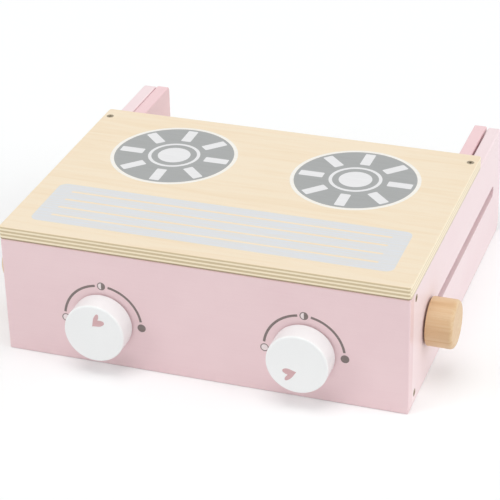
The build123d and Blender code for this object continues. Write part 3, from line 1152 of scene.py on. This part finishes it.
@dataclass
class Carcass:
    """Front board, side boards, battens, dowels and the screws that hold them."""

    ink_bottom: float = -0.02
    pale_ink: float = 0.03
    dark_ink: float = 0.06
    ink_lap: float = 0.02

    dial_shift: Point = (-0.1, -0.45)
    dial_radius: float = 29.3
    dial_line: float = 1.8
    dial_arcs: tuple[Point, ...] = ((9.5, 80.2), (99.3, 172.4))
    open_mark: Point = (-28.7, -0.85)
    mark_radius: float = 3.1
    mark_line: float = 0.7

    def print_dial(self, side: Side) -> None:
        """Prints one dial: two arcs between an open, a half and a full circle.

        Args:
            side: which dial.
        """
        knob_low, knob_high = box_mm(f"control_knob_{side.word}")
        board_low, _ = box_mm("front_panel")
        axis = (knob_low + knob_high) / 2
        middle = Vector((axis.x + self.dial_shift[0], board_low.y, axis.z + self.dial_shift[1]))
        place = Matrix.Translation(middle) @ Matrix.Rotation(math.pi / 2, 4, "X")
        top, right = (0.0, self.dial_radius), (self.dial_radius, 0.0)
        inside = self.mark_radius - self.mark_line

        pale = InkSheet(self.ink_bottom, self.pale_ink)
        pale.disc(inside + self.ink_lap, self.open_mark)
        pale.arc(0, inside + self.ink_lap, 90, 180, top)
        new_piece(f"dial_fill_{side.word}", pale.done(place), DIAL_PALE_INK, "carcass")

        dark = InkSheet(self.ink_bottom, self.dark_ink)
        half = self.dial_line / 2
        for start, end in self.dial_arcs:
            dark.arc(self.dial_radius - half, self.dial_radius + half, start, end - start)
        dark.arc(inside, self.mark_radius, 0, 360, self.open_mark)
        dark.arc(inside, self.mark_radius, 90, 180, top)
        dark.arc(0, self.mark_radius, -90, 180, top)
        dark.disc(self.mark_radius, right)
        new_piece(f"dial_marks_{side.word}", dark.done(place), DIAL_INK, "carcass")

    def build(self, wardrobe: Wardrobe) -> None:
        """Dresses the boards and what holds them, and prints the dials.

        Args:
            wardrobe: what dresses the nodes.
        """
        wardrobe.dress(PINK_FRONT, "front_panel")
        wardrobe.dress(PALE_PINK_SIDE, "side_panel_left", "side_panel_right")
        spruce_posts = spruce("planed_spruce", GrainAxis.Z)
        wardrobe.dress(spruce_posts, "corner_batten_left", "corner_batten_right")
        wardrobe.dress(beech("beech_dowel", GrainAxis.Z), "hob_dowels")
        wardrobe.dress(SCREW_STEEL, "hob_screws", "side_screws_left", "side_screws_right")
        for side in Side:
            self.print_dial(side)


@dataclass
class ControlKnob:
    """A white turned knob on its beech spindle, with a small heart printed on its face.

    The heart is placed by its tip, from the knob's axis, and turned by where its top points, in degrees
    anticlockwise from the user's right.
    """

    side: Side
    heart_tip: Point
    heart_turn: float
    ink_bottom: float = -0.02
    ink_top: float = 0.05

    long_lobe: tuple[Point, ...] = ((-2.95, 8.9), (-2.1, 11.0), (-0.45, 9.9))
    notch: Point = (0.6, 6.95)
    short_lobe: tuple[Point, ...] = ((2.6, 8.4), (5.0, 8.75), (5.85, 6.9))

    def heart(self) -> bmesh.types.BMesh:
        """Draws the heart as a flat closed curve: one long lobe and one short one.

        Returns:
            The film in mm, with the tip at the origin, the notch up the print and its middle at z 0.
        """
        curve = bpy.data.curves.new("heart", "CURVE")
        curve.dimensions = "2D"
        curve.fill_mode = "BOTH"
        curve.resolution_u = CURVE_STEPS
        curve.extrude = (self.ink_top - self.ink_bottom) / 2
        corners = [ORIGIN, *self.long_lobe, self.notch, *self.short_lobe]
        spline = curve.splines.new("BEZIER")
        spline.bezier_points.add(len(corners) - 1)
        for point, corner in zip(spline.bezier_points, corners):
            sharp = corner in (ORIGIN, self.notch)
            point.co = (*corner, 0.0)
            point.handle_left_type = point.handle_right_type = "VECTOR" if sharp else "AUTO"
        spline.use_cyclic_u = True
        drawn = bpy.data.objects.new("heart", curve)
        mesh = bpy.data.meshes.new_from_object(drawn)
        shape = bmesh.new()
        shape.from_mesh(mesh)
        bpy.data.meshes.remove(mesh)
        bpy.data.objects.remove(drawn)
        bpy.data.curves.remove(curve)
        return shape

    def print_heart(self) -> None:
        """Prints the heart on the knob's face."""
        word = self.side.word
        low, high = box_mm(f"control_knob_{word}")
        axis = (low + high) / 2
        middle = (self.ink_top + self.ink_bottom) / 2
        tip = Vector((axis.x + self.heart_tip[0], low.y, axis.z + self.heart_tip[1]))
        place = (
            Matrix.Scale(MM, 4)
            @ Matrix.Translation(tip)
            @ Matrix.Rotation(math.pi / 2, 4, "X")
            @ Matrix.Rotation(math.radians(self.heart_turn - 90), 4, "Z")
            @ Matrix.Translation((0, 0, middle))
        )
        film = self.heart()
        bmesh.ops.transform(film, verts=film.verts, matrix=place)
        new_piece(f"heart_print_{word}", film, HEART_INK, f"knob_{word}")

    def build(self, wardrobe: Wardrobe) -> None:
        """Dresses the knob and what carries it, and prints its heart.

        Args:
            wardrobe: what dresses the nodes.
        """
        word = self.side.word
        wardrobe.dress(WHITE_KNOB, f"control_knob_{word}")
        turned = beech("beech_spindle", GrainAxis.Y)
        wardrobe.dress(turned, f"knob_spindle_{word}", f"spindle_retainer_{word}")
        wardrobe.dress(NYLON, f"knob_washer_{word}")
        wardrobe.dress(ZINC_STEEL, f"spindle_screw_{word}")
        self.print_heart()


class PullOutFrame:
    """The U-shaped frame: two painted arms, the beech handle bar and its screws."""

    def build(self, wardrobe: Wardrobe) -> None:
        """Dresses the frame.

        Args:
            wardrobe: what dresses the nodes.
        """
        wardrobe.dress(PINK_ARM, "frame_arm_left", "frame_arm_right")
        wardrobe.dress(beech("beech_handle", GrainAxis.X), "handle_bar")
        wardrobe.dress(ZINC_STEEL, "handle_screws")


@dataclass
class ClampSet:
    """What clamps one arm to its side board: bolt, washer, and the knob with its insert."""

    side: Side

    def build(self, wardrobe: Wardrobe) -> None:
        """Dresses the clamp.

        Args:
            wardrobe: what dresses the nodes.
        """
        word = self.side.word
        wardrobe.dress(ZINC_STEEL, f"clamp_bolt_{word}", f"clamp_washer_{word}")
        wardrobe.dress(beech("beech_clamp_knob", GrainAxis.X), f"clamp_knob_{word}")
        wardrobe.dress(TURNED_BRASS, f"clamp_insert_{word}")


@dataclass(frozen=True)
class Lamp:
    """A large soft lamp far away.

    Its azimuth is 0 in front of the toy and 90 to its right, its elevation is counted from the horizon,
    and its spread is how large it looks from the toy, all in degrees. Its strength is that at the toy.
    """

    name: str
    azimuth: float
    elevation: float
    strength: float
    spread: float

    def hang(self) -> None:
        """Hangs the lamp."""
        lamp = bpy.data.lights.new(self.name, "SUN")
        lamp.energy = self.strength
        lamp.angle = math.radians(self.spread)
        turn = Euler((math.radians(90 - self.elevation), 0, math.radians(self.azimuth)))
        place_in_scene(self.name, lamp).rotation_euler = turn


@dataclass
class Studio:
    """A pale floor that runs into a white background, soft light and the photograph's camera."""

    floor_size: float = 30.0
    floor_colour: str = "#F6F6F6"
    floor_roughness: float = 0.9
    floor_lift: float = 0.085
    floor_tint: str = "#ECFFFF"

    background: str = "#FFFFFF"
    ambient: float = 0.475
    lamps: tuple[Lamp, ...] = (
        Lamp("overhead_lamp", azimuth=0.0, elevation=80.0, strength=0.94, spread=40.0),
        Lamp("left_lamp", azimuth=-50.0, elevation=30.0, strength=0.50, spread=30.0),
        Lamp("right_lamp", azimuth=95.0, elevation=28.0, strength=1.02, spread=60.0),
    )

    camera_place: Triple = (0.41727, -1.2019, 0.73916)
    camera_azimuth: float = 19.5375
    camera_elevation: float = 28.9513
    camera_roll: float = -1.3322
    lens: float = 138.30
    sensor: float = 36.0

    def lay_floor(self) -> None:
        """Lays the floor: plain white board, lifted to the background's white where it is seen."""
        shape = bmesh.new()
        bmesh.ops.create_grid(shape, x_segments=1, y_segments=1, size=self.floor_size / 2)
        mesh = bpy.data.meshes.new("floor")
        shape.to_mesh(mesh)
        shape.free()
        floor = place_in_scene("floor", mesh)

        canvas = Canvas("matt_white_floor_board")
        canvas.paint(linear(self.floor_colour), self.floor_roughness, Specular_IOR_Level=0.0)
        glow = {"Color": linear(self.floor_tint), "Strength": self.floor_lift}
        lift = canvas.add("ShaderNodeEmission", glow)
        board = canvas.shader.outputs[0]
        lifted = canvas.add("ShaderNodeAddShader", {0: board, 1: lift.outputs[0]})
        either = canvas.add(
            "ShaderNodeMixShader", {0: canvas.seen_directly(), 1: board, 2: lifted.outputs[0]}
        )
        canvas.feed(canvas.output, {"Surface": either.outputs[0]})
        mesh.materials.append(canvas.material)

    def light_world(self) -> None:
        """Lights the room softly from all round, with a plain white background."""
        world = bpy.data.worlds.new("studio")
        bpy.context.scene.world = world
        world.use_nodes = True
        sheet = NodeSheet(world.node_tree)
        softer = {"Value": sheet.seen_directly(), **ranges(WHOLE, (self.ambient, 1.0))}
        strength = sheet.add("ShaderNodeMapRange", softer)
        light = {"Color": linear(self.background), "Strength": strength.outputs[0]}
        sheet.feed(world.node_tree.nodes["Background"], light)

    def set_camera(self) -> None:
        """Sets the camera at the photograph's viewpoint."""
        camera = bpy.data.cameras.new("camera")
        camera.lens = self.lens
        camera.sensor_width = self.sensor
        turn = (
            Matrix.Rotation(math.radians(self.camera_azimuth), 4, "Z")
            @ Matrix.Rotation(math.radians(90 - self.camera_elevation), 4, "X")
            @ Matrix.Rotation(math.radians(self.camera_roll), 4, "Z")
        )
        holder = place_in_scene("camera", camera)
        holder.matrix_world = Matrix.Translation(self.camera_place) @ turn
        bpy.context.scene.camera = holder

    def build(self) -> None:
        """Sets up floor, light, camera and the plain colour transform."""
        bpy.context.scene.view_settings.view_transform = "Standard"
        self.lay_floor()
        self.light_world()
        for lamp in self.lamps:
            lamp.hang()
        self.set_camera()


def main() -> None:
    """Builds the scene."""
    logging.basicConfig(level=logging.INFO, format="%(name)s: %(message)s")
    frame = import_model()
    wardrobe = Wardrobe(frame["nodes"])
    Studio().build()
    Carcass().build(wardrobe)
    HobTop().build(wardrobe)
    ControlKnob(Side.LEFT, heart_tip=(-0.8, 6.2), heart_turn=56.0).build(wardrobe)
    ControlKnob(Side.RIGHT, heart_tip=(-0.1, -5.6), heart_turn=212.0).build(wardrobe)
    PullOutFrame().build(wardrobe)
    for side in Side:
        ClampSet(side).build(wardrobe)
    wardrobe.check()


if __name__ == "__main__":
    main()
